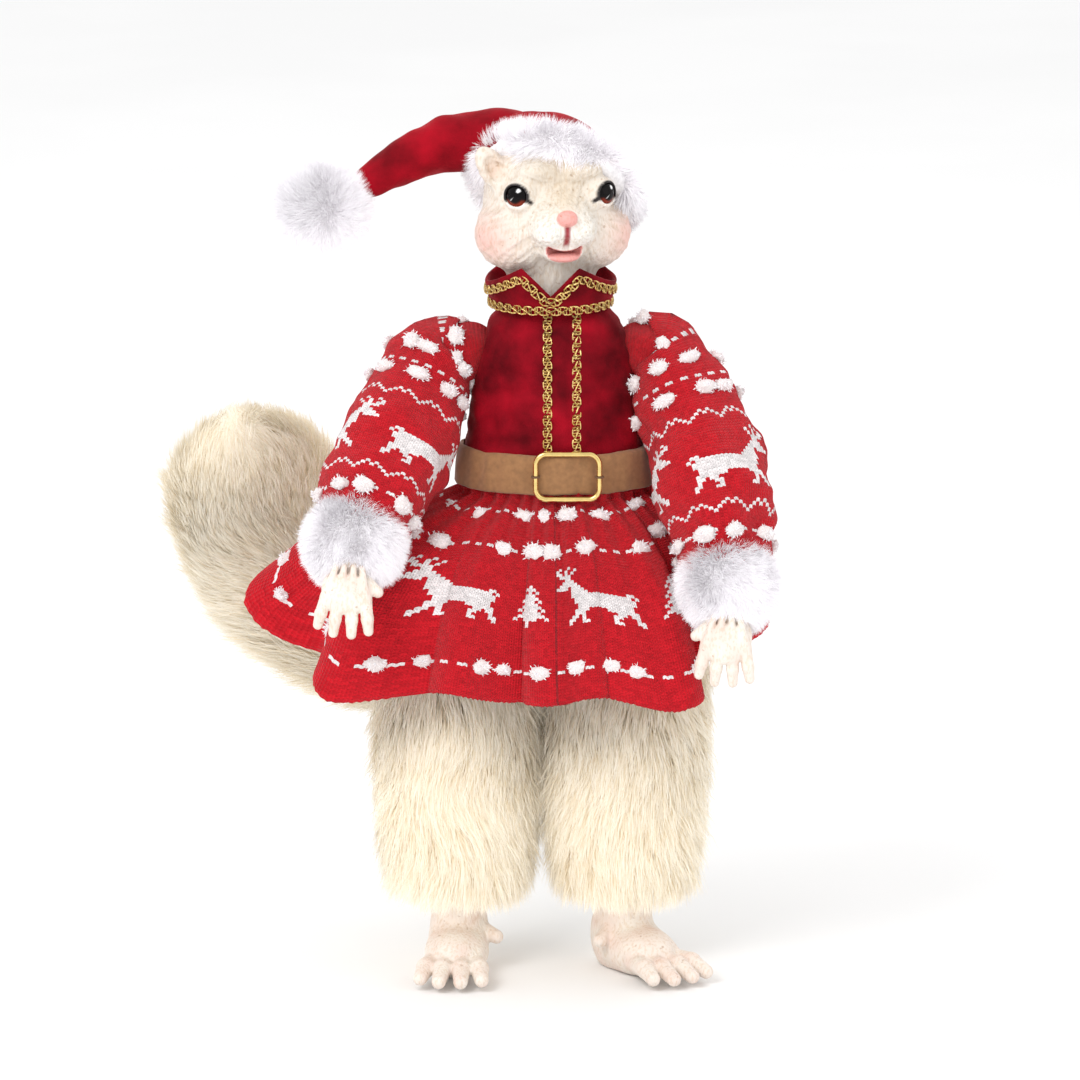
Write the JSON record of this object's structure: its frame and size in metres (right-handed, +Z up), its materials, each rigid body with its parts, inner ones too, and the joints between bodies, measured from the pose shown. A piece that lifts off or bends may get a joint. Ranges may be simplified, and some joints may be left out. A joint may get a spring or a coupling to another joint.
{
  "type": "dressed squirrel ornament",
  "caption": "Posable standing squirrel with a plush tail, knit skirt and sleeves, velvet bodice, belt and a winter hat with a pompom; seasonal table decoration.",
  "frame": {"origin": "on the ground under the middle of the overall box", "axes": "+Z up, face towards -Y"},
  "size_m": [0.2764, 0.2044, 0.392],
  "materials": {
    "resin": "painted resin, carved fur lines, satin",
    "eyes": "glossy dark",
    "plush_cream": "long-pile faux fur",
    "plush_white": "short-pile faux fur",
    "velvet_red": "velvet",
    "velvet_dark": "velvet",
    "knit": "patterned knit",
    "suede": "suede",
    "gold": "polished gold tone",
    "braid": "gold metallic thread",
    "thread": "sewing thread",
    "stuffing": "polyester fill",
    "wire": "bare wire"
  },
  "bodies": {
    "torso": {"torso_core": "stuffing", "spine_wire": "wire", "shoulder_bar": "wire", "hip_bar": "wire", "bodice": "velvet_dark", "collar": "velvet_dark", "neck_braid": "braid", "collar_braid": "braid", "right_front_braid": "braid", "left_front_braid": "braid", "belt": "suede", "buckle": "gold", "buckle_stitches": "thread", "skirt": "knit"},
    "head": {"head_casting": "resin", "right_eye": "eyes", "left_eye": "eyes", "hat_crown": "velvet_red", "hat_band": "plush_white"},
    "hat_tip": {"hat_tail": "velvet_red", "hat_wire": "wire", "pompom": "plush_white"},
    "tail": {"tail_plush": "plush_cream", "tail_wire": "wire"},
    "right_arm": {"right_sleeve": "knit", "right_arm_padding": "stuffing", "right_arm_wire": "wire", "right_cuff": "plush_white"},
    "right_hand": {"right_hand": "resin"},
    "right_leg": {"right_leg_plush": "plush_cream", "right_leg_stuffing": "stuffing", "right_leg_wire": "wire"},
    "right_foot": {"right_foot": "resin"},
    "left_arm": {"left_sleeve": "knit", "left_arm_padding": "stuffing", "left_arm_wire": "wire", "left_cuff": "plush_white"},
    "left_hand": {"left_hand": "resin"},
    "left_leg": {"left_leg_plush": "plush_cream", "left_leg_stuffing": "stuffing", "left_leg_wire": "wire"},
    "left_foot": {"left_foot": "resin"}
  },
  "joints": [
    {"name": "neck_turn", "type": "hinge", "parent": "torso", "child": "head", "pos_m": [0.0347, -0.0149, 0.348], "axis": [0, 0, 1], "range_deg": [-25, 25]},
    {"name": "hat_tip_bend", "type": "hinge", "parent": "head", "child": "hat_tip", "pos_m": [-0.0018, 0.0021, 0.377], "axis": [0, 1, 0], "range_deg": [-10, 22]},
    {"name": "tail_swing", "type": "hinge", "parent": "torso", "child": "tail", "pos_m": [0.0307, 0.0241, 0.168], "axis": [0, 1, 0], "range_deg": [-20, 30]},
    {"name": "right_shoulder", "type": "hinge", "parent": "torso", "child": "right_arm", "pos_m": [-0.0163, -0.0149, 0.281], "axis": [1, 0, 0], "range_deg": [-90, 0]},
    {"name": "right_wrist", "type": "hinge", "parent": "right_arm", "child": "right_hand", "pos_m": [-0.0523, -0.0699, 0.208], "axis": [-0.1098, -0.7155, -0.6899], "range_deg": [-50, 50]},
    {"name": "right_hip", "type": "hinge", "parent": "torso", "child": "right_leg", "pos_m": [-0.0068, -0.0149, 0.163], "axis": [1, 0, 0], "range_deg": [-18, 3]},
    {"name": "right_ankle", "type": "hinge", "parent": "right_leg", "child": "right_foot", "pos_m": [-0.0068, -0.0149, 0.041], "axis": [0, 0, 1], "range_deg": [-40, 40]},
    {"name": "left_shoulder", "type": "hinge", "parent": "torso", "child": "left_arm", "pos_m": [0.0867, -0.0149, 0.281], "axis": [1, 0, 0], "range_deg": [-90, 0]},
    {"name": "left_wrist", "type": "hinge", "parent": "left_arm", "child": "left_hand", "pos_m": [0.1137, -0.0689, 0.1885], "axis": [-0.049, -0.5745, -0.817], "range_deg": [-50, 50]},
    {"name": "left_hip", "type": "hinge", "parent": "torso", "child": "left_leg", "pos_m": [0.0682, -0.0149, 0.163], "axis": [1, 0, 0], "range_deg": [-18, 8]},
    {"name": "left_ankle", "type": "hinge", "parent": "left_leg", "child": "left_foot", "pos_m": [0.0682, -0.0149, 0.041], "axis": [0, 0, 1], "range_deg": [-40, 40]}
  ]
}
